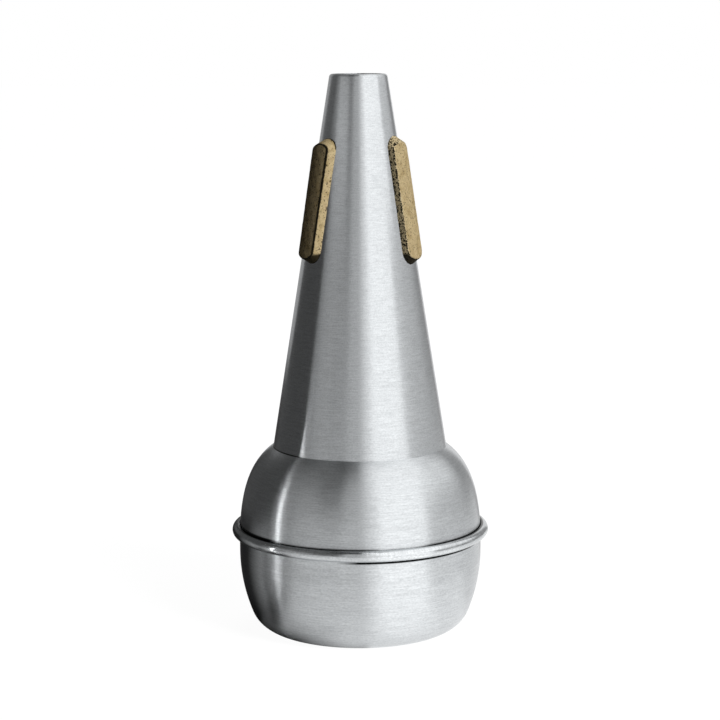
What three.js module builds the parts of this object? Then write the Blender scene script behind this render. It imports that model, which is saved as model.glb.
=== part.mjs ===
// A straight mute for a tenor trombone, in millimetres, +Z up, standing on its base.
// Two spun aluminium shells are rolled together at a seam, and three cork pads on the cone
// hold the mute in the bell. The origin is the centre of the flat base.

import * as THREE from 'three';

// Both shells
const sheet = 1.0;
const seatGap = 0.3;
const turnSegments = 56;

// Seam: the base cup's edge is curled round a hooked flange at the body's lower edge
const seamHeight = 47.5;
const curlBore = 1.6;
const curlOverhang = 3.15;
const curlMouthGap = 0.35;
const flangeBend = 0.5;
const hookAngle = 0.25 * Math.PI;
const seamArcSteps = 5;
const bendSteps = 3;

// Body: dome, crease, cone and mouth, measured upward from the seam
const bodyRadius = 57.5;
const domeHeight = 40;
const domeShoulder = 16.7;
const domeFoot = 22.75;
const domeExponent = 3.5;
const domeSteps = 9;
const coneHeight = 173.7;
const mouthRadius = 13.3;
const mouthLip = 2.5;
const lipBend = 1.6;

// Base cup: straight wall, long sweep, tight corner and flat base
const cupStep = 0.3;
const cupFillet = 0.4;
const cupWall = 7;
const sweepRadius = 77.4;
const cornerRadius = 13.5;
const sweepSteps = 4;
const cornerSteps = 5;

// Cork pads: hand cut, so each has its own size; angles turn from the front, -Y, to the right, +X
const padDrop = 57.5;
const padBevel = 2.8;
const padColumns = 11;
const leftLength = 58.2;
const leftSeat = 11.4;
const leftFace = 10.8;
const leftThickness = 4.9;
const rightLength = 59.8;
const rightSeat = 12.6;
const rightFace = 14.6;
const rightThickness = 3.8;
const rearLength = 59;
const rearSeat = 12.2;
const rearFace = 12.8;
const rearThickness = 4.3;
const pads = [
  {
    name: 'cork_pad_left', azimuth: -52.4, lean: 1.8,
    length: leftLength, seatWidth: leftSeat, faceWidth: leftFace, thickness: leftThickness,
  },
  {
    name: 'cork_pad_right', azimuth: 63.3, lean: 0.6,
    length: rightLength, seatWidth: rightSeat, faceWidth: rightFace, thickness: rightThickness,
  },
  {
    name: 'cork_pad_rear', azimuth: 185.5, lean: 0,
    length: rearLength, seatWidth: rearSeat, faceWidth: rearFace, thickness: rearThickness,
  },
];

// Derived places of the cone and the seam
const curlRadius = curlBore + sheet;
const curlCentre = new THREE.Vector2(bodyRadius + curlOverhang - curlRadius, seamHeight);
const creaseRadius = bodyRadius - domeShoulder;
const creaseHeight = seamHeight + domeHeight;
const mouthHeight = creaseHeight + coneHeight;
const coneTilt = Math.atan((creaseRadius - mouthRadius) / coneHeight);

const coneRadius = (height) => mouthRadius + (mouthHeight - height) * Math.tan(coneTilt);

// The dome is a superellipse that stands upright at its foot and ends at the crease
const footHeight = seamHeight - domeFoot;
const domeRise = (creaseHeight - footHeight)
  / (1 - (creaseRadius / bodyRadius) ** domeExponent) ** (1 / domeExponent);

const domeRadius = (height) => bodyRadius
  * (1 - ((height - footHeight) / domeRise) ** domeExponent) ** (1 / domeExponent);

const domeAngle = (height) => Math.asin(((height - footHeight) / domeRise) ** (domeExponent / 2));

const domeHeightAt = (angle) => footHeight + domeRise * Math.sin(angle) ** (2 / domeExponent);

function arc(centre, radius, from, to, steps) {
  return Array.from({ length: steps + 1 }, (_, step) => {
    const angle = from + (to - from) * step / steps;
    return new THREE.Vector2(centre.x + radius * Math.cos(angle), centre.y + radius * Math.sin(angle));
  });
}

const leftOf = (direction) => new THREE.Vector2(-direction.y, direction.x);

// Copies an open outline to its left side by the given depth, with mitred corners
function inset(outline, depth) {
  return outline.map((corner, index) => {
    const before = outline[index - 1];
    const after = outline[index + 1];
    const arriving = before ? corner.clone().sub(before).normalize() : after.clone().sub(corner).normalize();
    const leaving = after ? after.clone().sub(corner).normalize() : arriving;
    const side = leftOf(arriving.clone().add(leaving).normalize());
    return corner.clone().addScaledVector(side, depth / side.dot(leftOf(arriving)));
  });
}

// From the hooked flange inside the seam, up the dome and the cone, to the turned-in lip
function bodyOutline() {
  const hookRadius = curlBore - seatGap - sheet;
  const flangeTop = seamHeight - hookRadius;
  const wallRadius = domeRadius(flangeTop + flangeBend);
  const bendCentre = new THREE.Vector2(wallRadius + flangeBend, flangeTop + flangeBend);
  const firstAngle = domeAngle(flangeTop + flangeBend);
  const lastAngle = domeAngle(creaseHeight);
  const dome = Array.from({ length: domeSteps }, (_, step) => {
    const height = domeHeightAt(firstAngle + (lastAngle - firstAngle) * (step + 1) / domeSteps);
    return new THREE.Vector2(domeRadius(height), height);
  });
  const lipDrop = lipBend * (1 - Math.sin(coneTilt));
  const lipRadius = coneRadius(mouthHeight - lipDrop) - lipBend * Math.cos(coneTilt);
  const lipCentre = new THREE.Vector2(lipRadius, mouthHeight - lipBend);
  return [
    ...arc(curlCentre, hookRadius, hookAngle, -Math.PI / 2, seamArcSteps),
    ...arc(bendCentre, flangeBend, -Math.PI / 2, -Math.PI, bendSteps),
    ...dome,
    ...arc(lipCentre, lipBend, coneTilt, Math.PI / 2, bendSteps),
    new THREE.Vector2(mouthRadius - mouthLip, mouthHeight),
  ];
}

// From the centre of the base, up the wall and round the curl to its end beside the dome
function cupOutline() {
  const wallRadius = bodyRadius - cupStep;
  const filletRadius = wallRadius + cupFillet;
  const filletReach = curlCentre.x - filletRadius;
  const filletCentre = new THREE.Vector2(
    filletRadius,
    curlCentre.y - Math.sqrt((curlRadius + cupFillet) ** 2 - filletReach ** 2),
  );
  const towardsCurl = Math.acos(filletReach / (curlRadius + cupFillet));
  const sweepCentre = new THREE.Vector2(wallRadius - sweepRadius, filletCentre.y - cupWall);
  const centresApart = sweepRadius - cornerRadius;
  const cornerDrop = sweepCentre.y - cornerRadius;
  const baseRadius = sweepCentre.x + Math.sqrt(centresApart ** 2 - cornerDrop ** 2);
  const cornerCentre = new THREE.Vector2(baseRadius, cornerRadius);
  const sweepTurn = Math.asin(cornerDrop / centresApart);
  const curlEndRadius = domeRadius(seamHeight + curlRadius) + curlMouthGap;
  const curlEnd = Math.acos((curlEndRadius - curlCentre.x) / curlRadius);
  return [
    new THREE.Vector2(0, 0),
    ...arc(cornerCentre, cornerRadius, -Math.PI / 2, -sweepTurn, cornerSteps),
    ...arc(sweepCentre, sweepRadius, -sweepTurn, 0, sweepSteps).slice(1),
    ...arc(filletCentre, cupFillet, Math.PI, towardsCurl, bendSteps),
    ...arc(curlCentre, curlRadius, towardsCurl - Math.PI, curlEnd, 2 * seamArcSteps).slice(1),
  ];
}

// Spins a sheet whose outside follows the outline; an outline that starts on the axis stays open there
function spunSheet(outline) {
  const section = [...outline, ...inset(outline, sheet).reverse()];
  if (outline[0].x > 0) section.push(outline[0]);
  return new THREE.LatheGeometry(section, turnSegments).rotateX(Math.PI / 2);
}

// A strip with round ends, bent to the cone, whose outer face is cut back at both ends
function padGeometry({ lean, length, seatWidth, faceWidth, thickness }) {
  const geometry = new THREE.BoxGeometry(1, 1, 1, padColumns, 1, 1);
  const place = geometry.attributes.position;
  const slope = Math.tan(THREE.MathUtils.degToRad(lean));
  const straightHalf = (length - seatWidth) / 2;
  for (let index = 0; index < place.count; index += 1) {
    const acrossShare = Math.sin(Math.PI * place.getX(index));
    const endShare = Math.sqrt(1 - Math.min(1, acrossShare ** 2));
    const onFace = place.getZ(index) > 0;
    const roundEnd = seatWidth / 2 - (onFace ? padBevel : 0);
    const along = 2 * place.getY(index) * (straightHalf + roundEnd * endShare);
    const across = acrossShare * (onFace ? faceWidth : seatWidth) / 2;
    const shifted = across + slope * along;
    const height = mouthHeight - padDrop + along * Math.cos(coneTilt);
    const standOff = seatGap + (onFace ? thickness : 0);
    const radius = coneRadius(height) + standOff / Math.cos(coneTilt);
    const bow = onFace ? across : shifted;
    place.setXYZ(index, shifted, -Math.sqrt(radius ** 2 - bow ** 2), height);
  }
  geometry.computeVertexNormals();
  return geometry;
}

const aluminium = { color: 0xa8abad, roughness: 0.35, metalness: 1 };
const cork = { color: 0xb8a378, roughness: 0.9, metalness: 0 };

function addPiece(name, geometry, finish) {
  const mesh = new THREE.Mesh(geometry, new THREE.MeshStandardMaterial(finish));
  mesh.name = name;
  group.add(mesh);
  return mesh;
}

const group = new THREE.Group();
addPiece('body_shell', spunSheet(bodyOutline()), aluminium);
addPiece('base_cup', spunSheet(cupOutline()), aluminium);
for (const pad of pads) {
  const mesh = addPiece(pad.name, padGeometry(pad), cork);
  mesh.rotation.z = THREE.MathUtils.degToRad(pad.azimuth);
}

export default group;
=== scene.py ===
# A straight mute for a tenor trombone: two spun aluminium shells rolled together at a seam, with
# three cork pads on the cone. The mute's sizes are in millimetres and turned to metres where they
# are used, and the studio's are in metres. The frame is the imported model's: +Z up the axis, -Y
# towards the viewer.

import math
import random

import bpy
from mathutils import Matrix, Vector, kdtree, noise


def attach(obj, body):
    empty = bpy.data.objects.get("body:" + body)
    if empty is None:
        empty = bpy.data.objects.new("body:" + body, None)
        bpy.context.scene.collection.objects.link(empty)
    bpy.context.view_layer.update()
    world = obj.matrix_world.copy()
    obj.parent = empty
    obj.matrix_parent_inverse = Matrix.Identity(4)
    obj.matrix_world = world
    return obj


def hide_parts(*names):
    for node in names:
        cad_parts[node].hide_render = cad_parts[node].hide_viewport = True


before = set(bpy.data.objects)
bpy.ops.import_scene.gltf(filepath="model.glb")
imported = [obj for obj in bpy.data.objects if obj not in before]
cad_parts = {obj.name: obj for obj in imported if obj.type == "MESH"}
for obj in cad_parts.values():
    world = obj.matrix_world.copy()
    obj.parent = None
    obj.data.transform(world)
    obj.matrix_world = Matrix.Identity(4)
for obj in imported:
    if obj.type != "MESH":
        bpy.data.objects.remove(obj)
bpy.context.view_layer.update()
scene = bpy.context.scene
scene.view_settings.view_transform = "Standard"


# The viewpoint: a long lens a metre away, a little above the mute's mouth and tipped down at it.
# Its turns are in radians.

MM = 0.001
CAMERA_PLACE = (0, -974.2, 280.5)
CAMERA_TIP = 0.15547
CAMERA_YAW = -0.00024
CAMERA_ROLL = -0.004
LENS = 104.9

bpy.ops.object.camera_add(location=Vector(CAMERA_PLACE) * MM)
camera = bpy.context.object
camera.name = "camera"
camera.rotation_euler = (
    Matrix.Rotation(CAMERA_YAW, 3, "Z")
    @ Matrix.Rotation(math.pi / 2 - CAMERA_TIP, 3, "X")
    @ Matrix.Rotation(CAMERA_ROLL, 3, "Z")
).to_euler()
camera.data.lens = LENS
scene.camera = camera


# Mute body: one sheet of aluminium, spun on a lathe over a form. It runs from a hooked flange,
# hidden in the seam, up the swelling dome to a sharp crease, and on up the straight cone to a
# mouth whose lip is turned in.

SHEET = 1.0
TURN_STEPS = 192
# How near two points are welded, and how near a ring a point counts as on it.
WELD_REACH = 0.001
RING_REACH = 0.01
SEAM_HEIGHT = 47.5
CURL_CENTRE = (58.05, SEAM_HEIGHT)
HOOK_RADIUS = 0.3
HOOK_STEPS = 6
FLANGE_BEND = 0.5
FLANGE_STEPS = 4
BODY_RADIUS = 57.5
DOME_FOOT = 24.75
DOME_RISE = 69.5
DOME_POWER = 3.5
DOME_STEPS = 34
CONE_STEPS = 30
CREASE_RADIUS = 40.8
CREASE_HEIGHT = 87.5
CREASE_EASE = 0.45
CREASE_STEPS = 4
MOUTH_RADIUS = 13.3
MOUTH_HEIGHT = 261.2
MOUTH_LIP = 2.5
LIP_BEND = 1.6
LIP_STEPS = 8
CONE_TILT = math.atan((CREASE_RADIUS - MOUTH_RADIUS) / (MOUTH_HEIGHT - CREASE_HEIGHT))
SMOOTH_ANGLE = math.radians(28)


def arc(centre, radius, start, end, steps):
    """Points on an arc in the section plane, from one angle to another in radians."""
    angles = [start + (end - start) * step / steps for step in range(steps + 1)]
    return [
        Vector((centre[0] + radius * math.cos(a), centre[1] + radius * math.sin(a))) for a in angles
    ]


def inner_side(outline, depth):
    """The outline moved to its left by the sheet's thickness, with mitred corners."""
    moved = []
    for index, corner in enumerate(outline):
        arriving = (corner - outline[index - 1]).normalized() if index else None
        leaving = (outline[index + 1] - corner).normalized() if index < len(outline) - 1 else None
        arriving = arriving or leaving
        leaving = leaving or arriving
        side = (arriving + leaving).normalized().orthogonal()
        moved.append(corner + side * depth / side.dot(arriving.orthogonal()))
    return moved


def deselect():
    """Leaves nothing selected, because an operator acts on all that is."""
    if bpy.context.object and bpy.context.object.mode != "OBJECT":
        bpy.ops.object.mode_set(mode="OBJECT")
    bpy.ops.object.select_all(action="DESELECT")


def spin_sheet(name, outline):
    """Draws a sheet's section beside the axis, spins it into a shell and smooths the curves."""
    section = outline + inner_side(outline, SHEET)[::-1]
    if outline[0].x > 0:
        section.append(outline[0])
    points = [Vector((p.x, 0, p.y)) * MM for p in section]
    deselect()
    bpy.ops.mesh.primitive_plane_add(size=SHEET * MM, location=points[0])
    shell = bpy.context.object
    shell.name = name
    bpy.ops.object.mode_set(mode="EDIT")
    bpy.ops.mesh.select_all(action="SELECT")
    bpy.ops.mesh.merge(type="CENTER")
    for before, after in zip(points, points[1:]):
        bpy.ops.mesh.extrude_region_move(TRANSFORM_OT_translate={"value": after - before})
    bpy.ops.mesh.select_all(action="SELECT")
    bpy.ops.mesh.spin(steps=TURN_STEPS, angle=2 * math.pi, center=(0, 0, 0), axis=(0, 0, 1))
    bpy.ops.mesh.select_all(action="SELECT")
    bpy.ops.mesh.remove_doubles(threshold=WELD_REACH * MM)
    bpy.ops.mesh.delete_loose()
    bpy.ops.mesh.select_all(action="SELECT")
    bpy.ops.mesh.normals_make_consistent(inside=False)
    bpy.ops.object.mode_set(mode="OBJECT")
    bpy.ops.object.transform_apply(location=True, rotation=True, scale=True)
    bpy.ops.object.shade_smooth_by_angle(angle=SMOOTH_ANGLE)
    return shell


def dome_height(turn):
    """The height on the dome at a turn of its curve, from 0 at its widest to a quarter turn."""
    return DOME_FOOT + DOME_RISE * math.sin(turn) ** (2 / DOME_POWER)


def dome_radius(height):
    return BODY_RADIUS * (1 - ((height - DOME_FOOT) / DOME_RISE) ** DOME_POWER) ** (1 / DOME_POWER)


def dome_turn(height):
    return math.asin(((height - DOME_FOOT) / DOME_RISE) ** (DOME_POWER / 2))


def cone_radius(height):
    return MOUTH_RADIUS + (MOUTH_HEIGHT - height) * math.tan(CONE_TILT)


def body_outline():
    """The outer side of the body's sheet, from the hook in the seam to the edge of the lip."""
    bend_height = SEAM_HEIGHT - HOOK_RADIUS + FLANGE_BEND
    bend_centre = (dome_radius(bend_height) + FLANGE_BEND, bend_height)
    first, last = dome_turn(bend_height), dome_turn(CREASE_HEIGHT)
    heights = [
        dome_height(first + (last - first) * (step + 1) / DOME_STEPS) for step in range(DOME_STEPS)
    ]
    lip_height = MOUTH_HEIGHT - LIP_BEND * (1 - math.sin(CONE_TILT))
    cone_heights = [
        CREASE_HEIGHT + (lip_height - CREASE_HEIGHT) * (step + 1) / CONE_STEPS
        for step in range(CONE_STEPS - 1)
    ]
    lip_centre = (cone_radius(lip_height) - LIP_BEND * math.cos(CONE_TILT), MOUTH_HEIGHT - LIP_BEND)
    return [
        *arc(CURL_CENTRE, HOOK_RADIUS, math.pi / 4, -math.pi / 2, HOOK_STEPS),
        *arc(bend_centre, FLANGE_BEND, -math.pi / 2, -math.pi, FLANGE_STEPS),
        *[Vector((dome_radius(height), height)) for height in heights],
        *[Vector((cone_radius(height), height)) for height in cone_heights],
        *arc(lip_centre, LIP_BEND, CONE_TILT, math.pi / 2, LIP_STEPS),
        Vector((MOUTH_RADIUS - MOUTH_LIP, MOUTH_HEIGHT)),
    ]


def ease_ring(shell, radius, height, width, steps):
    """Bevels the ring of edges at one radius and height of a shell."""
    deselect()
    bpy.context.view_layer.objects.active = shell
    shell.select_set(True)
    bpy.ops.object.mode_set(mode="EDIT")
    bpy.ops.mesh.select_all(action="DESELECT")
    bpy.ops.object.mode_set(mode="OBJECT")
    for vertex in shell.data.vertices:
        off_height = abs(vertex.co.z - height * MM)
        off_radius = abs(vertex.co.xy.length - radius * MM)
        vertex.select = max(off_height, off_radius) < RING_REACH * MM
    bpy.ops.object.mode_set(mode="EDIT")
    bpy.ops.mesh.bevel(offset=width * MM, segments=steps, affect="EDGES")
    bpy.ops.object.mode_set(mode="OBJECT")
    bpy.ops.object.shade_smooth_by_angle(angle=SMOOTH_ANGLE)


mute_body = spin_sheet("mute_body", body_outline())
ease_ring(mute_body, CREASE_RADIUS, CREASE_HEIGHT, CREASE_EASE, CREASE_STEPS)

# Satin spun aluminium, 1 mm sheet. The spinning tool and the emery cloth leave grooves round the
# axis, so a light's reflection spreads up and down into a long stripe and stays narrow across.
# The real grooves are about 0.05 mm apart, too fine to show, so they are drawn 0.55 mm apart.
# The bead was burnished by the tool that closed it, so it is smoother than the rest.

ALUMINIUM_COLOUR = "#b7babc"
ALUMINIUM_LIGHT = "#d7dadc"
ALUMINIUM_ROUGHNESS = 0.3
ROUGHNESS_SPREAD = 0.02
ALUMINIUM_ANISOTROPY = 1.0
# A quarter turn, so that a reflection spreads across the grooves and not along them.
ANISOTROPY_TURN = 0.25
BEAD_ROUGHNESS = 0.18
# The distances from the middle of the bead between which it turns smooth.
BEAD_EDGE = (3.1, 2.7)
# The grain is a noise that is long round the axis: its spacing up the sheet in millimetres, and
# how often it changes in a turn. The speckle is shorter, and the bands are broad and faint.
NOISE_ROUGHNESS = 0.6
GRAIN_PITCH = 0.55
GRAIN_TURNS = 6
GRAIN_CONTRAST = (0.7, 1.3)
GRAIN_BUMP = 0.25
GRAIN_DEPTH = 0.2
SPECKLE_PITCH = 0.6
SPECKLE_TURNS = 50
BAND_PITCH = 6
BAND_TURNS = 1.2
BAND_SPAN = (0.3, 0.7)
# Painted shade: dark lines where shade falls, in the seam's gap above the bead, again above it
# and wider at the left, in the groove below the bead, and in the crease. Its colour, the share of a
# line that is fully dark, and the degrees over which its ends fade; then for each line the radius
# and height of its middle, its reach, and the azimuth and half width of the part left unpainted.
PAINTED_SHADE_COLOUR = "#101111"
PAINTED_SHADE_CORE = 0.6
PAINTED_SHADE_FADE = 5
PAINTED_SHADE_LINES = [
    (57.65, 50.0, 1.0, 18, 12),
    (57.6, 50.3, 1.35, 70, 112),
    (57.3, 44.4, 0.95, -52, 46),
    (40.8, 87.4, 0.4, 85, 128),
]


def linear(hex_colour):
    """An sRGB hex colour as linear RGBA."""
    parts = [int(hex_colour[i : i + 2], 16) / 255 for i in (1, 3, 5)]
    return (*[p / 12.92 if p <= 0.04045 else ((p + 0.055) / 1.055) ** 2.4 for p in parts], 1)


def add_node(tree, kind, settings=None, **links):
    """Adds a node, applies its settings, and links or sets its named inputs."""
    made = tree.nodes.new(kind)
    for key, value in (settings or {}).items():
        setattr(made, key, value)
    for key, value in links.items():
        socket = made.inputs[int(key[1:])] if key[0] == "i" and key[1:].isdigit() else None
        socket = socket or made.inputs[key.replace("_", " ")]
        if isinstance(value, bpy.types.NodeSocket):
            tree.links.new(value, socket)
        else:
            socket.default_value = value
    return made


def new_material(name):
    """An empty material with its output and a principled shader."""
    made = bpy.data.materials.new(name)
    made.use_nodes = True
    tree = made.node_tree
    tree.nodes.clear()
    shader = add_node(tree, "ShaderNodeBsdfPrincipled")
    add_node(tree, "ShaderNodeOutputMaterial", Surface=shader.outputs[0])
    return made, tree, shader


def spun_aluminium(name, along_sign):
    """Satin aluminium with its grain round the Z axis; the sheet's own length is z plus or minus
    the radius, so that the grain stays even over walls, domes and a flat base."""
    made, tree, shader = new_material(name)
    place = add_node(tree, "ShaderNodeTexCoord").outputs["Object"]
    flat = add_node(
        tree, "ShaderNodeVectorMath", {"operation": "MULTIPLY"}, i0=place, i1=(1, 1, 0)
    ).outputs["Vector"]
    turn = add_node(tree, "ShaderNodeVectorMath", {"operation": "NORMALIZE"}, i0=flat)
    radius = add_node(tree, "ShaderNodeVectorMath", {"operation": "LENGTH"}, i0=flat)
    height = add_node(tree, "ShaderNodeSeparateXYZ", i0=place).outputs["Z"]
    along = add_node(
        tree,
        "ShaderNodeMath",
        {"operation": "MULTIPLY_ADD"},
        i0=radius.outputs["Value"],
        i1=along_sign,
        i2=height,
    ).outputs[0]

    def ring_noise(pitch, turns, detail):
        """Noise with one spacing along the sheet and another round the axis."""
        steps = add_node(
            tree, "ShaderNodeMath", {"operation": "MULTIPLY"}, i0=along, i1=1 / (pitch * MM)
        )
        turned = add_node(
            tree,
            "ShaderNodeVectorMath",
            {"operation": "SCALE"},
            i0=turn.outputs["Vector"],
            Scale=turns,
        )
        up = add_node(tree, "ShaderNodeCombineXYZ", Z=steps.outputs[0])
        where = add_node(
            tree,
            "ShaderNodeVectorMath",
            {"operation": "ADD"},
            i0=turned.outputs["Vector"],
            i1=up.outputs[0],
        )
        return add_node(
            tree,
            "ShaderNodeTexNoise",
            Vector=where.outputs["Vector"],
            Scale=1,
            Detail=detail,
            Roughness=NOISE_ROUGHNESS,
        ).outputs["Fac"]

    grain = ring_noise(GRAIN_PITCH, GRAIN_TURNS, 3)
    speckle = ring_noise(SPECKLE_PITCH, SPECKLE_TURNS, 2)
    bands = ring_noise(BAND_PITCH, BAND_TURNS, 2)
    section = add_node(
        tree, "ShaderNodeCombineXYZ", X=radius.outputs["Value"], Z=height
    ).outputs[0]

    def away_from(ring_radius, ring_height):
        """The distance from a ring round the axis."""
        return add_node(
            tree,
            "ShaderNodeVectorMath",
            {"operation": "DISTANCE"},
            i0=section,
            i1=(ring_radius * MM, 0, ring_height * MM),
        ).outputs["Value"]

    def painted_shade_line(ring_radius, ring_height, reach, azimuth, half_width):
        """A dark line of painted shade along a ring, left out over a range of azimuths."""
        near = add_node(
            tree,
            "ShaderNodeMapRange",
            Value=away_from(ring_radius, ring_height),
            From_Min=reach * MM,
            From_Max=reach * PAINTED_SHADE_CORE * MM,
            To_Min=0,
            To_Max=1,
        ).outputs["Result"]
        way = math.radians(azimuth)
        facing = add_node(
            tree,
            "ShaderNodeVectorMath",
            {"operation": "DOT_PRODUCT"},
            i0=turn.outputs["Vector"],
            i1=(math.sin(way), -math.cos(way), 0),
        ).outputs["Value"]
        left = add_node(
            tree,
            "ShaderNodeMapRange",
            Value=facing,
            From_Min=math.cos(math.radians(half_width + PAINTED_SHADE_FADE)),
            From_Max=math.cos(math.radians(half_width - PAINTED_SHADE_FADE)),
            To_Min=1,
            To_Max=0,
        ).outputs["Result"]
        return add_node(
            tree, "ShaderNodeMath", {"operation": "MULTIPLY"}, i0=near, i1=left
        ).outputs[0]

    # Painted shade in the seam's gaps, the groove and the crease darkens the colour.
    shade_lines = 0
    for line in PAINTED_SHADE_LINES:
        shade_lines = add_node(
            tree, "ShaderNodeMath", {"operation": "MAXIMUM"}, i0=shade_lines, i1=painted_shade_line(*line)
        ).outputs[0]
    mixed = add_node(
        tree, "ShaderNodeMath", {"operation": "ADD"}, i0=grain, i1=speckle
    ).outputs[0]
    tone = add_node(
        tree,
        "ShaderNodeMapRange",
        Value=mixed,
        From_Min=GRAIN_CONTRAST[0],
        From_Max=GRAIN_CONTRAST[1],
        To_Min=0,
        To_Max=1,
    ).outputs["Result"]
    grained = add_node(
        tree,
        "ShaderNodeMix",
        {"data_type": "RGBA"},
        Factor=tone,
        i6=linear(ALUMINIUM_COLOUR),
        i7=linear(ALUMINIUM_LIGHT),
    ).outputs[2]
    colour = add_node(
        tree,
        "ShaderNodeMix",
        {"data_type": "RGBA"},
        Factor=shade_lines,
        i6=grained,
        i7=linear(PAINTED_SHADE_COLOUR),
    ).outputs[2]
    rough = add_node(
        tree,
        "ShaderNodeMapRange",
        Value=bands,
        From_Min=BAND_SPAN[0],
        From_Max=BAND_SPAN[1],
        To_Min=ALUMINIUM_ROUGHNESS - ROUGHNESS_SPREAD,
        To_Max=ALUMINIUM_ROUGHNESS + ROUGHNESS_SPREAD,
    ).outputs["Result"]
    on_bead = add_node(
        tree,
        "ShaderNodeMapRange",
        Value=away_from(*CURL_CENTRE),
        From_Min=BEAD_EDGE[0] * MM,
        From_Max=BEAD_EDGE[1] * MM,
        To_Min=0,
        To_Max=1,
    ).outputs["Result"]
    rough = add_node(
        tree,
        "ShaderNodeMix",
        {"data_type": "FLOAT"},
        Factor=on_bead,
        i2=rough,
        i3=BEAD_ROUGHNESS,
    ).outputs[0]
    bump = add_node(
        tree, "ShaderNodeBump", Strength=GRAIN_BUMP, Distance=GRAIN_DEPTH * MM, Height=grain
    ).outputs["Normal"]
    tree.links.new(colour, shader.inputs["Base Color"])
    tree.links.new(rough, shader.inputs["Roughness"])
    tree.links.new(bump, shader.inputs["Normal"])
    shader.inputs["Metallic"].default_value = 1
    shader.inputs["Anisotropic"].default_value = ALUMINIUM_ANISOTROPY
    shader.inputs["Anisotropic Rotation"].default_value = ANISOTROPY_TURN
    return made


mute_body.data.materials.append(spun_aluminium("satin_spun_aluminium_body", -1))
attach(mute_body, "root")
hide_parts("body_shell")


# Base cup: a second spun sheet, closed and flat below, with a tight corner, a long sweep and a
# short straight wall. Its upper edge is curled round the body's flange and closed on it, which
# makes the round bead at the widest place and holds the two shells together.

# Rings across the flat base, as shares of its radius.
BASE_RINGS = (0.25, 0.5, 0.75)
CORNER_RADIUS = 13.5
CORNER_STEPS = 18
SWEEP_RADIUS = 77.4
SWEEP_STEPS = 14
CUP_WALL_RADIUS = 57.2
CUP_WALL = 7
CUP_FILLET = 0.4
FILLET_STEPS = 5
CURL_RADIUS = 2.6
CURL_GAP = 0.55
CURL_STEPS = 26


def cup_outline():
    """The outer side of the cup's sheet, from the centre of the base to the end of the curl."""
    fillet_radius = CUP_WALL_RADIUS + CUP_FILLET
    reach = CURL_CENTRE[0] - fillet_radius
    apart = CURL_RADIUS + CUP_FILLET
    fillet_centre = (fillet_radius, SEAM_HEIGHT - math.sqrt(apart**2 - reach**2))
    to_curl = math.acos(reach / apart)
    sweep_centre = (CUP_WALL_RADIUS - SWEEP_RADIUS, fillet_centre[1] - CUP_WALL)
    drop = sweep_centre[1] - CORNER_RADIUS
    base_radius = sweep_centre[0] + math.sqrt((SWEEP_RADIUS - CORNER_RADIUS) ** 2 - drop**2)
    sweep_turn = math.asin(drop / (SWEEP_RADIUS - CORNER_RADIUS))
    end_radius = dome_radius(SEAM_HEIGHT + CURL_RADIUS) + CURL_GAP
    curl_end = math.acos((end_radius - CURL_CENTRE[0]) / CURL_RADIUS)
    corner_centre = (base_radius, CORNER_RADIUS)
    return [
        Vector((0, 0)),
        *[Vector((base_radius * share, 0)) for share in BASE_RINGS],
        *arc(corner_centre, CORNER_RADIUS, -math.pi / 2, -sweep_turn, CORNER_STEPS),
        *arc(sweep_centre, SWEEP_RADIUS, -sweep_turn, 0, SWEEP_STEPS)[1:],
        *arc(fillet_centre, CUP_FILLET, math.pi, to_curl, FILLET_STEPS),
        *arc(CURL_CENTRE, CURL_RADIUS, to_curl - math.pi, curl_end, CURL_STEPS)[1:],
    ]


base_cup = spin_sheet("rolled_base_cup", cup_outline())
base_cup.data.materials.append(spun_aluminium("satin_spun_aluminium_cup", 1))
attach(base_cup, "root")
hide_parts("base_cup")


# Cork pads: three strips cut by hand from natural cork sheet, with round ends cut back on a
# slant. They are bent round the cone and glued along it, and they grip the inside of the bell.

PAD_DROP = 57.5
PAD_SLANT = 2.8
PAD_SEAT_GAP = 0.05
PAD_CORNERS = 72
PAD_VOXEL = 0.32
PAD_SWELL = 0.08
PAD_SWELL_SIZE = 2.5
EDGE_SMOOTHING = 0.5
EDGE_PASSES = 2
# Pits: on the cut sides, clear of the glue, and most of them near the upper and lower edge.
SIDE_SLOPE = 0.45
SEAT_MARGIN = 0.3
PIT_EDGE_REACH = 1.1
PIT_RADIUS = (0.25, 0.5)
PIT_DEPTH = (0.25, 0.55)
PIT_STRETCH = 0.7
PIT_RAGGED = 0.6
PIT_RAGGED_SIZE = 0.5
PIT_DARK = 3
# A broken dark line along the edges, and painted shade on the rounded lower end, which faces down.
LINE_DARK = 3
LINE_BREAKS = 0.6
LINE_BREAK_SIZE = 1.1
LOW_END_REACH = 1.2
LOW_END_SIDE = 1.4
LOW_END_SHADE = 0.95
# Wear and painted light: the cut sides are crumbly and painted paler, most of all within this
# distance of an edge. The paler colour is partly cut cork's own and partly painted light, which
# lifts the right pad's near side where it lies in shade.
WEAR_AND_LIGHT_REACH = 1.0
SIDE_WEAR_AND_LIGHT = 0.4


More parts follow.
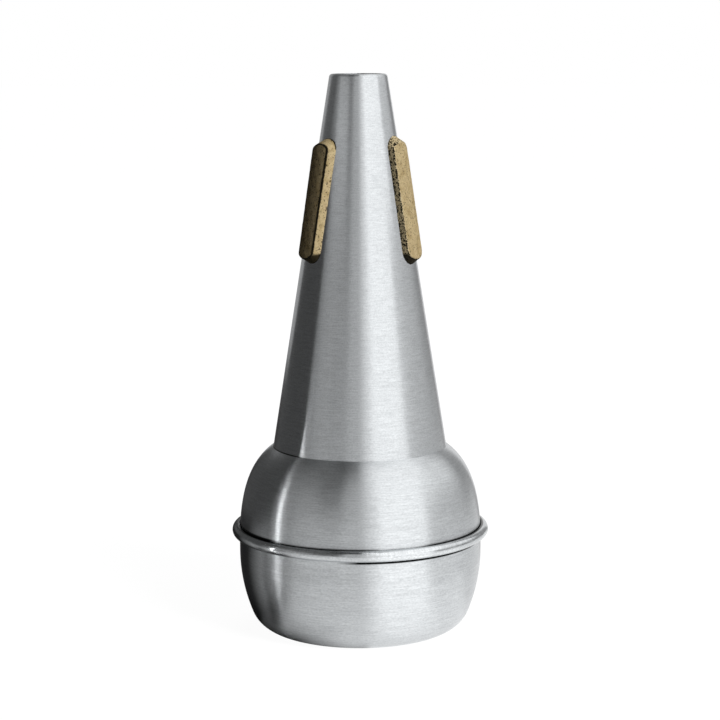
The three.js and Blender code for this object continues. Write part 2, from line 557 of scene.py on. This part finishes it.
def flat_strip(name, length, seat, face, thickness):
    """A flat strip with round ends: a disc is raised, its top is cut back, and it is pulled
    apart lengthwise."""
    deselect()
    bpy.ops.mesh.primitive_circle_add(
        vertices=PAD_CORNERS, radius=seat / 2 * MM, fill_type="NGON"
    )
    strip = bpy.context.object
    strip.name = name
    straight = (length - seat) / 2
    bpy.ops.object.mode_set(mode="EDIT")
    bpy.ops.mesh.select_all(action="SELECT")
    bpy.ops.mesh.extrude_region_move(TRANSFORM_OT_translate={"value": (0, 0, thickness * MM)})
    bpy.ops.transform.resize(value=(face / seat, 1 - 2 * PAD_SLANT / seat, 1))
    for side in (-1, 1):
        bpy.ops.mesh.select_all(action="DESELECT")
        bpy.ops.object.mode_set(mode="OBJECT")
        for vertex in strip.data.vertices:
            vertex.select = vertex.co.y * side > 0
        bpy.ops.object.mode_set(mode="EDIT")
        bpy.ops.transform.translate(value=(0, side * straight * MM, 0))
    bpy.ops.mesh.select_all(action="SELECT")
    bpy.ops.mesh.normals_make_consistent(inside=False)
    bpy.ops.object.mode_set(mode="OBJECT")
    remesh = strip.modifiers.new("even_faces", "REMESH")
    remesh.mode = "VOXEL"
    remesh.voxel_size = PAD_VOXEL * MM
    bpy.ops.object.modifier_apply(modifier=remesh.name)
    smooth = strip.modifiers.new("worn_edges", "SMOOTH")
    smooth.factor = EDGE_SMOOTHING
    smooth.iterations = EDGE_PASSES
    bpy.ops.object.modifier_apply(modifier=smooth.name)
    return strip


def crumble(strip, seed, length, seat, face, thickness, line_darkness, reach, wear_and_light, pits):
    """Sinks pits along the edges of the cut sides, where grains broke out, and marks in the mesh
    what is dark (the pits, a broken line along the edges, and painted shade on the lower end, which
    faces down) and what is worn and painted paler."""
    rng = random.Random(seed)
    mesh = strip.data
    straight = (length - seat) / 2
    tree = kdtree.KDTree(len(mesh.vertices))
    for vertex in mesh.vertices:
        tree.insert(vertex.co, vertex.index)
    tree.balance()
    side_faces = [
        face
        for face in mesh.polygons
        if face.normal.z < SIDE_SLOPE and face.center.z > SEAT_MARGIN * MM
    ]
    normals = [v.normal.copy() for v in mesh.vertices]
    places = [v.co.copy() for v in mesh.vertices]
    dark = [0.0] * len(places)
    sunk = [0.0] * len(places)
    worn_and_lit = [0.0] * len(places)
    while pits:
        centre = rng.choice(side_faces).center
        from_edge = min(centre.z / MM - SEAT_MARGIN, thickness - centre.z / MM)
        if rng.random() < from_edge / PIT_EDGE_REACH:
            continue
        pits -= 1
        radius = rng.uniform(*PIT_RADIUS) * MM
        depth = rng.uniform(*PIT_DEPTH) * MM
        for place, index, _ in tree.find_range(centre, radius / PIT_STRETCH):
            off = place - centre
            ragged = 1 + PIT_RAGGED * noise.noise(place / (PIT_RAGGED_SIZE * MM))
            distance = Vector((off.x, off.y * PIT_STRETCH, off.z)).length * ragged
            share = max(0, 1 - (distance / radius) ** 2)
            sunk[index] = max(sunk[index], depth * share)
            dark[index] = max(dark[index], min(1, PIT_DARK * share))
    for index, (place, normal) in enumerate(zip(places, normals)):
        x, y, z = place / MM
        beyond = max(0, abs(y) - straight)
        inward = max(0, 1 - math.hypot(2 * x / face, beyond / (seat / 2 - PAD_SLANT)))
        from_rim = math.hypot(inward * face / 2, thickness - z)
        rim = max(0, 1 - from_rim / reach)
        side_on = math.sqrt(max(0, 1 - normal.z**2))
        broken = noise.noise(place / (LINE_BREAK_SIZE * MM) + Vector((seed, 0, 0)))
        seat_end = max(0, 1 - z / reach) * min(1, beyond)
        line = max(rim, seat_end) * LINE_DARK * (line_darkness + LINE_BREAKS * broken)
        # Painted shade: the rounded lower end faces down and is darkened.
        low_end_shade = min(1, max(0, -y - straight) / LOW_END_REACH) * min(1, LOW_END_SIDE * side_on)
        dark[index] = max(dark[index], min(1, line), LOW_END_SHADE * low_end_shade)
        edges = max(0, 1 - min(thickness - z, z) / WEAR_AND_LIGHT_REACH)
        # Worn sides: crumbs, and a paler colour that is partly painted light.
        worn_and_lit[index] = (SIDE_WEAR_AND_LIGHT + (1 - SIDE_WEAR_AND_LIGHT) * edges) * side_on * wear_and_light
        swell = noise.noise(place / (PAD_SWELL_SIZE * MM) + Vector((0, seed, 0))) * PAD_SWELL * MM
        mesh.vertices[index].co = place + normal * (swell - sunk[index])
    mesh.attributes.new("pits_lines_and_shade", "FLOAT", "POINT").data.foreach_set("value", dark)
    mesh.attributes.new("worn_and_lit_edge", "FLOAT", "POINT").data.foreach_set("value", worn_and_lit)


def wrap_on_cone(strip, azimuth, lean):
    """Bends a flat strip round the cone at its height and turns it to its place."""
    turn = Matrix.Rotation(math.radians(azimuth), 3, "Z")
    slope = math.tan(math.radians(lean))
    for vertex in strip.data.vertices:
        across, along, off = (c / MM for c in vertex.co)
        across += slope * along
        height = MOUTH_HEIGHT - PAD_DROP + along * math.cos(CONE_TILT)
        radius = cone_radius(height) + (PAD_SEAT_GAP + off) / math.cos(CONE_TILT)
        bent = Vector((across, -math.sqrt(radius**2 - across**2), height))
        vertex.co = turn @ bent * MM


# Natural cork, sliced and sanded: pale tan grains about 1 mm across with darker patches, brown
# flecks, and black pits where grains broke out of the cut sides. It is quite matt. Sizes are in
# millimetres, and each pair of numbers is where in its noise a mark begins and is complete.

CORK_COLOUR = "#bba67f"
CORK_PALE = "#c8b58b"
CORK_GRAIN = 1.1
CORK_DEEP = "#9c8659"
CORK_DEEP_SIZE = 3.3
CORK_DEEP_SPAN = (0.45, 0.75)
CORK_DEEP_SHARE = 0.8
CORK_FLECK = "#4b3d22"
CORK_FLECK_SIZE = 0.55
CORK_FLECK_SPAN = (0.62, 0.72)
CORK_FLECK_SHARE = 0.8
# Paler cut sides: partly cut cork's colour, partly painted light on sides in shade.
CORK_CUT_AND_LIT = "#e2d2ac"
CORK_CUT_AND_LIT_SHARE = 0.8
CORK_PIT_AND_SHADE = "#100e08"
CORK_CRUMB = 0.7
CORK_CRUMB_SPAN = (0.63, 0.66)
CORK_CRUMB_WEAR = 0.2
CORK_BUMP = 0.5
CORK_BUMP_DEPTH = 0.2
CORK_ROUGHNESS = 0.9
CORK_IOR = 1.3
CORK_SPECULAR = 0.25


def natural_cork(name):
    """Matt cork with grains, patches and flecks, and the marks that the mesh carries: dark pits,
    edge lines and painted shade, and worn sides painted paler, partly as painted light."""
    made, tree, shader = new_material(name)
    place = add_node(tree, "ShaderNodeTexCoord").outputs["Object"]
    grains = add_node(tree, "ShaderNodeTexVoronoi", Vector=place, Scale=1 / (CORK_GRAIN * MM))
    mottle = add_node(
        tree, "ShaderNodeTexNoise", Vector=place, Scale=1 / (CORK_DEEP_SIZE * MM), Detail=4
    )
    flecks = add_node(
        tree,
        "ShaderNodeTexNoise",
        Vector=place,
        Scale=1 / (CORK_FLECK_SIZE * MM),
        Detail=2,
        Roughness=NOISE_ROUGHNESS,
    )
    shade = add_node(tree, "ShaderNodeSeparateColor", i0=grains.outputs["Color"]).outputs[0]
    tan = add_node(
        tree,
        "ShaderNodeMix",
        {"data_type": "RGBA"},
        Factor=shade,
        i6=linear(CORK_COLOUR),
        i7=linear(CORK_PALE),
    ).outputs[2]
    deep = add_node(
        tree,
        "ShaderNodeMapRange",
        Value=mottle.outputs["Fac"],
        From_Min=CORK_DEEP_SPAN[0],
        From_Max=CORK_DEEP_SPAN[1],
        To_Min=0,
        To_Max=CORK_DEEP_SHARE,
    ).outputs["Result"]
    mottled = add_node(
        tree,
        "ShaderNodeMix",
        {"data_type": "RGBA"},
        Factor=deep,
        i6=tan,
        i7=linear(CORK_DEEP),
    ).outputs[2]
    fleck = add_node(
        tree,
        "ShaderNodeMapRange",
        Value=flecks.outputs["Fac"],
        From_Min=CORK_FLECK_SPAN[0],
        From_Max=CORK_FLECK_SPAN[1],
        To_Min=0,
        To_Max=CORK_FLECK_SHARE,
    ).outputs["Result"]
    flecked = add_node(
        tree,
        "ShaderNodeMix",
        {"data_type": "RGBA"},
        Factor=fleck,
        i6=mottled,
        i7=linear(CORK_FLECK),
    ).outputs[2]
    crumbs = add_node(
        tree, "ShaderNodeTexNoise", Vector=place, Scale=1 / (CORK_CRUMB * MM), Detail=2
    ).outputs["Fac"]
    worn_and_lit = add_node(tree, "ShaderNodeAttribute", {"attribute_name": "worn_and_lit_edge"}).outputs["Fac"]
    chance = add_node(
        tree,
        "ShaderNodeMath",
        {"operation": "MULTIPLY_ADD"},
        i0=worn_and_lit,
        i1=CORK_CRUMB_WEAR,
        i2=crumbs,
    ).outputs[0]
    broken = add_node(
        tree,
        "ShaderNodeMapRange",
        Value=chance,
        From_Min=CORK_CRUMB_SPAN[0],
        From_Max=CORK_CRUMB_SPAN[1],
        To_Min=0,
        To_Max=1,
    ).outputs["Result"]
    # Partly painted light: the cut sides are painted paler, most on the right pad, whose near side
    # lies in shade.
    paler = add_node(
        tree, "ShaderNodeMath", {"operation": "MULTIPLY"}, i0=worn_and_lit, i1=CORK_CUT_AND_LIT_SHARE
    ).outputs[0]
    cut_and_lit = add_node(
        tree,
        "ShaderNodeMix",
        {"data_type": "RGBA"},
        Factor=paler,
        i6=flecked,
        i7=linear(CORK_CUT_AND_LIT),
    ).outputs[2]
    marked = add_node(tree, "ShaderNodeAttribute", {"attribute_name": "pits_lines_and_shade"}).outputs["Fac"]
    pits = add_node(
        tree, "ShaderNodeMath", {"operation": "MAXIMUM"}, i0=marked, i1=broken
    ).outputs[0]
    # The dark marks hold pits, edge lines and painted shade on the lower end.
    colour = add_node(
        tree,
        "ShaderNodeMix",
        {"data_type": "RGBA"},
        Factor=pits,
        i6=cut_and_lit,
        i7=linear(CORK_PIT_AND_SHADE),
    ).outputs[2]
    bump = add_node(
        tree,
        "ShaderNodeBump",
        Strength=CORK_BUMP,
        Distance=CORK_BUMP_DEPTH * MM,
        Height=flecks.outputs["Fac"],
    ).outputs["Normal"]
    tree.links.new(colour, shader.inputs["Base Color"])
    tree.links.new(bump, shader.inputs["Normal"])
    shader.inputs["Roughness"].default_value = CORK_ROUGHNESS
    shader.inputs["IOR"].default_value = CORK_IOR
    shader.inputs["Specular IOR Level"].default_value = CORK_SPECULAR
    return made


cork = natural_cork("sanded_natural_cork")
# Each pad: its name and node, azimuth and lean in degrees, then length, width at the seat, width
# of the face and thickness, then how dark the line along its edges is, how far the line reaches,
# how worn and painted pale the cut sides are, and how many pits they have.
PADS = [
    ("left_cork", "cork_pad_left", -52.4, 1.8, (58.2, 11.4, 10.8, 4.9), (0.9, 0.9, 0.05, 24)),
    ("right_cork", "cork_pad_right", 63.3, 0.6, (59.8, 12.6, 14.6, 3.8), (0, 0.6, 1.15, 130)),
    ("rear_cork", "cork_pad_rear", 185.5, 0, (59, 12.2, 12.8, 4.3), (0.3, 0.8, 0.8, 60)),
]
for seed, (name, node, azimuth, lean, size, wear_and_light) in enumerate(PADS, 3):
    pad = flat_strip(name, *size)
    crumble(pad, seed, *size, *wear_and_light)
    wrap_on_cone(pad, azimuth, lean)
    deselect()
    pad.select_set(True)
    bpy.context.view_layer.objects.active = pad
    bpy.ops.object.shade_smooth()
    pad.data.materials.append(cork)
    # The metal beside the pads is clear, so they stay out of its reflections.
    pad.visible_glossy = False
    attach(pad, "root")
    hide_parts(node)


# Studio: a white floor that runs on as far as the eye sees, and a tent of cloth round the set,
# white at the right and grey to black at the left. A strip light at the left, its trail on the
# floor, and flags and cards close to the mute stand in the tent. Two lamps light the cork.

FLOOR_SIZE = 20
FLOOR_COLOUR = "#5c5c5c"
# How white the floor shows near the mute and far off, and the distances of the two.
FLOOR_GLOW = (0.96, 1.0)
FLOOR_FADE = (0.1, 0.45)
# The light that the white surroundings give to cork and floor.
ROOM_LIGHT = 0.016


def shown_ray(tree):
    """1 for rays that show the surroundings: from the camera, in metal and through glass."""
    path = add_node(tree, "ShaderNodeLightPath").outputs
    seen = add_node(
        tree,
        "ShaderNodeMath",
        {"operation": "MAXIMUM"},
        i0=path["Is Camera Ray"],
        i1=path["Is Glossy Ray"],
    ).outputs[0]
    return add_node(
        tree,
        "ShaderNodeMath",
        {"operation": "MAXIMUM"},
        i0=seen,
        i1=path["Is Transmission Ray"],
    ).outputs[0]


deselect()
bpy.ops.mesh.primitive_plane_add(size=FLOOR_SIZE)
floor = bpy.context.object
floor.name = "white_floor"
floor_paint = bpy.data.materials.new("white_paper_floor")
floor_paint.use_nodes = True
tree = floor_paint.node_tree
tree.nodes.clear()
spot = add_node(tree, "ShaderNodeTexCoord").outputs["Object"]
reach = add_node(tree, "ShaderNodeVectorMath", {"operation": "LENGTH"}, i0=spot)
whiteness = add_node(
    tree,
    "ShaderNodeMapRange",
    Value=reach.outputs["Value"],
    From_Min=FLOOR_FADE[0],
    From_Max=FLOOR_FADE[1],
    To_Min=FLOOR_GLOW[0],
    To_Max=FLOOR_GLOW[1],
).outputs["Result"]
glow = add_node(
    tree,
    "ShaderNodeMath",
    {"operation": "MULTIPLY"},
    i0=shown_ray(tree),
    i1=whiteness,
).outputs[0]
lit = add_node(tree, "ShaderNodeBsdfDiffuse", Color=linear(FLOOR_COLOUR)).outputs[0]
light = add_node(tree, "ShaderNodeEmission", Strength=glow).outputs[0]
both = add_node(tree, "ShaderNodeAddShader", i0=lit, i1=light).outputs[0]
add_node(tree, "ShaderNodeOutputMaterial", Surface=both)
floor.data.materials.append(floor_paint)

world = bpy.data.worlds.new("white_studio")
scene.world = world
world.use_nodes = True
tree = world.node_tree
tree.nodes.clear()
level = add_node(
    tree,
    "ShaderNodeMapRange",
    Value=shown_ray(tree),
    To_Min=ROOM_LIGHT,
    To_Max=1,
).outputs["Result"]
sky = add_node(
    tree, "ShaderNodeBackground", Color=(1, 1, 1, 1), Strength=level
).outputs[0]
add_node(tree, "ShaderNodeOutputWorld", Surface=sky)


def only_in_metal(made):
    """Keeps a thing of the studio out of the picture: it shows in the metal alone."""
    made.visible_camera = False
    made.visible_diffuse = False
    made.visible_shadow = False


# Where across a card, from -0.5 to 0.5, its first tone turns to its second.
CARD_FADE = (-0.5, -0.17)


def card(name, place, turn, width, height, tones):
    """A flat card of light, or a dark flag, whose tone changes over its first third."""
    deselect()
    bpy.ops.mesh.primitive_plane_add(size=1, location=place, rotation=turn)
    made = bpy.context.object
    made.name = name
    made.scale = (width, height, 1)
    paint = bpy.data.materials.new(name)
    paint.use_nodes = True
    tree = paint.node_tree
    tree.nodes.clear()
    spot = add_node(tree, "ShaderNodeTexCoord").outputs["Object"]
    across = add_node(tree, "ShaderNodeSeparateXYZ", i0=spot).outputs["X"]
    tone = add_node(
        tree,
        "ShaderNodeMapRange",
        Value=across,
        From_Min=CARD_FADE[0],
        From_Max=CARD_FADE[1],
        To_Min=tones[0],
        To_Max=tones[1],
    ).outputs["Result"]
    shine = add_node(tree, "ShaderNodeEmission", Strength=tone).outputs[0]
    add_node(tree, "ShaderNodeOutputMaterial", Surface=shine)
    # It isn't sampled as a lamp is, so that a card close to the mute hides what stands behind it.
    paint.cycles.emission_sampling = "NONE"
    made.data.materials.append(paint)
    only_in_metal(made)
    return made


def lamp(name, azimuth, elevation, distance, width, height, radiance):
    """A soft box of even brightness, from the front at 0 degrees to the right at 90. It lights
    the cork and floor, and stays out of the metal, which mirrors the tent."""
    a, e = math.radians(azimuth), math.radians(elevation)
    out = Vector((math.sin(a) * math.cos(e), -math.cos(a) * math.cos(e), math.sin(e)))
    turn = out.to_track_quat("Z", "Y").to_euler()
    bpy.ops.object.light_add(type="AREA", location=out * distance, rotation=turn)
    made = bpy.context.object
    made.name = name
    made.data.shape = "RECTANGLE"
    made.data.size = width
    made.data.size_y = height
    made.data.energy = radiance * math.pi * width * height
    made.visible_glossy = False


TENT_RADIUS = 1.5
TENT_CENTRE = 0.13
TENT_SEAMS = 180
TENT_RINGS = 90
TENT_OFF_FLOOR = 0.0004
TENT_BASE_TONE = 0.17
# Panels of cloth, each laid over those before it: azimuth from and to, elevation from and to,
# the softness of its edges in degrees, and its tone.
TENT_PANELS = [
    # front left: floor cloth, low wall, high wall, overhead, and the seam beside the white sheet
    (-112, 40, -95, -5, 10, 0.38),
    (-84, 40, -95, -5, 4, 0.62),
    (-46, 40, -95, -5, 44, 0.95),
    (-66, -10, -5, 4, 4, 0.6),
    (-84, -44, 14, 30, 8, 0.45),
    (-62, 4, 44, 95, 12, 0.1),
    (-18, 14, 10, 60, 10, 0.62),
    (4, 20, -5, 95, 8, 1.0),
    # left and back left: low wall, darker near the floor, and a black cloth close to the mute
    (-190, -125, -95, 30, 8, 0.4),
    (-190, -125, -60, -14, 12, 0.16),
    (-145, -80, -75, -38, 12, 0.01),
    # right: the great white sheet, its floor cloth, and the low wall under it
    (17, 67, -8, 95, 8, 1.52),
    (10, 66, -95, -8, 22, 1.52),
    (60, 150, -95, -8, 20, 1.03),
    (56, 92, -95, -32, 16, 1.28),
    (-14, 190, -95, -66, 14, 1.14),
    (62, 134, 14, 95, 6, 1.24),
    (62, 84, 8, 95, 6, 1.5),
    (68, 140, -8, 6, 6, 0.28),
    (68, 140, 6, 14, 6, 0.6),
    (20, 142, 50, 95, 10, 1.6),
    # back right
    (134, 156, 30, 54, 8, 0.75),
    (138, 156, -8, 40, 5, 0.35),
    (156, 190, -95, 95, 5, 0.85),
    (-190, -160, 45, 95, 8, 0.8),
    # a dark hood over the set, open to the white sheet
    (-190, 8, 72, 95, 8, 0.04),
    (88, 190, 76, 95, 8, 0.08),
    # the mute's own shadow, which falls to the left
    (-190, -56, -69, -48, 16, 0.01),
    (-190, 5, -95, -71, 6, 0.04),
]
# The shade under the mute's foot, at the left: azimuths of its two sides, their softness, and the
# elevation and softness of its outer edge.
FOOT_SHADE = (-185, -24, 50, -66, 10)


def soft_step(value, edge, softness):
    """Rises from 0 to 1 across an edge."""
    share = min(1, max(0, (value - edge) / softness + 0.5))
    return share * share * (3 - 2 * share)


def tent_tone(azimuth, elevation):
    """The tone of the cloth in a direction seen from the middle of the mute."""
    tone = TENT_BASE_TONE
    for west, east, low, high, soft, cloth in TENT_PANELS:
        across = soft_step(azimuth, west, soft) * soft_step(-azimuth, -east, soft)
        cover = across * soft_step(elevation, low, soft) * soft_step(-elevation, -high, soft)
        tone += (cloth - tone) * cover
    west, east, soft, rim, rim_soft = FOOT_SHADE
    across = soft_step(azimuth, west, soft) * soft_step(-azimuth, -east, soft)
    return tone * (1 - across * soft_step(-elevation, -rim, rim_soft))


deselect()
bpy.ops.mesh.primitive_uv_sphere_add(
    segments=TENT_SEAMS, ring_count=TENT_RINGS, radius=TENT_RADIUS
)
tent = bpy.context.object
tent.name = "studio_tent"
tones = tent.data.attributes.new("cloth_tone", "FLOAT", "POINT")
for vertex, tone in zip(tent.data.vertices, tones.data):
    out = vertex.co.normalized()
    tone.value = tent_tone(math.degrees(math.atan2(out.x, -out.y)), math.degrees(math.asin(out.z)))
    # the tent's lower part lies flat on the floor
    if out.z * TENT_RADIUS < -TENT_CENTRE:
        vertex.co *= -TENT_CENTRE / vertex.co.z
    vertex.co.z += TENT_CENTRE + TENT_OFF_FLOOR
cloth = bpy.data.materials.new("tent_cloth")
cloth.use_nodes = True
tree = cloth.node_tree
tree.nodes.clear()
painted = add_node(tree, "ShaderNodeAttribute", {"attribute_name": "cloth_tone"}).outputs["Fac"]
shine = add_node(tree, "ShaderNodeEmission", Strength=painted).outputs[0]
add_node(tree, "ShaderNodeOutputMaterial", Surface=shine)
cloth.cycles.emission_sampling = "NONE"
tent.data.materials.append(cloth)
only_in_metal(tent)

# Cards and flags: name, place, turn, width and height, and the tone of each side. Two lean
# back, so that they show at the mouth and lie edge-on to the dome.
UPRIGHT = math.pi / 2
SIDEWAYS = (UPRIGHT, 0, UPRIGHT)
LEAN = 0.28
LEANING = (UPRIGHT - LEAN, 0, UPRIGHT)
TRAIL_TURN = math.radians(5.3)
TRAIL_TAPER = 0.05

card("strip_light", (-1.2, -0.15, 0.25), SIDEWAYS, 0.038, 0.5, (9, 9))
trail = card("strip_on_floor", (-0.64, -0.099, 0.001), (0, 0, TRAIL_TURN), 1.1, 0.03, (5, 4))
for vertex in trail.data.vertices:
    if vertex.co.x > 0:
        vertex.co.y *= TRAIL_TAPER
card("black_flag", (-0.075, 0.0075, 0.1435), SIDEWAYS, 0.085, 0.183, (0.08, 0.08))
card("low_flag", (-0.075, 0.01, 0.026), SIDEWAYS, 0.07, 0.052, (0.3, 0.02))
card("rear_flag", (-0.076, 0.1025, 0.06), SIDEWAYS, 0.115, 0.12, (0.05, 0.05))
card("grey_card", (-0.075, 0.01, 0.27), LEANING, 0.08, 0.08, (0.5, 0.15))
card("pale_card", (-0.075, -0.08, 0.27), LEANING, 0.1, 0.08, (0.45, 0.65))
card("white_card", (0.12, -0.12, 0.305), SIDEWAYS, 0.18, 0.21, (1.5, 1.5))

lamp("key_light", azimuth=40, elevation=31, distance=1.6, width=0.5, height=0.8, radiance=18.5)
lamp("back_light", azimuth=160, elevation=35, distance=1.6, width=1.0, height=1.0, radiance=3)
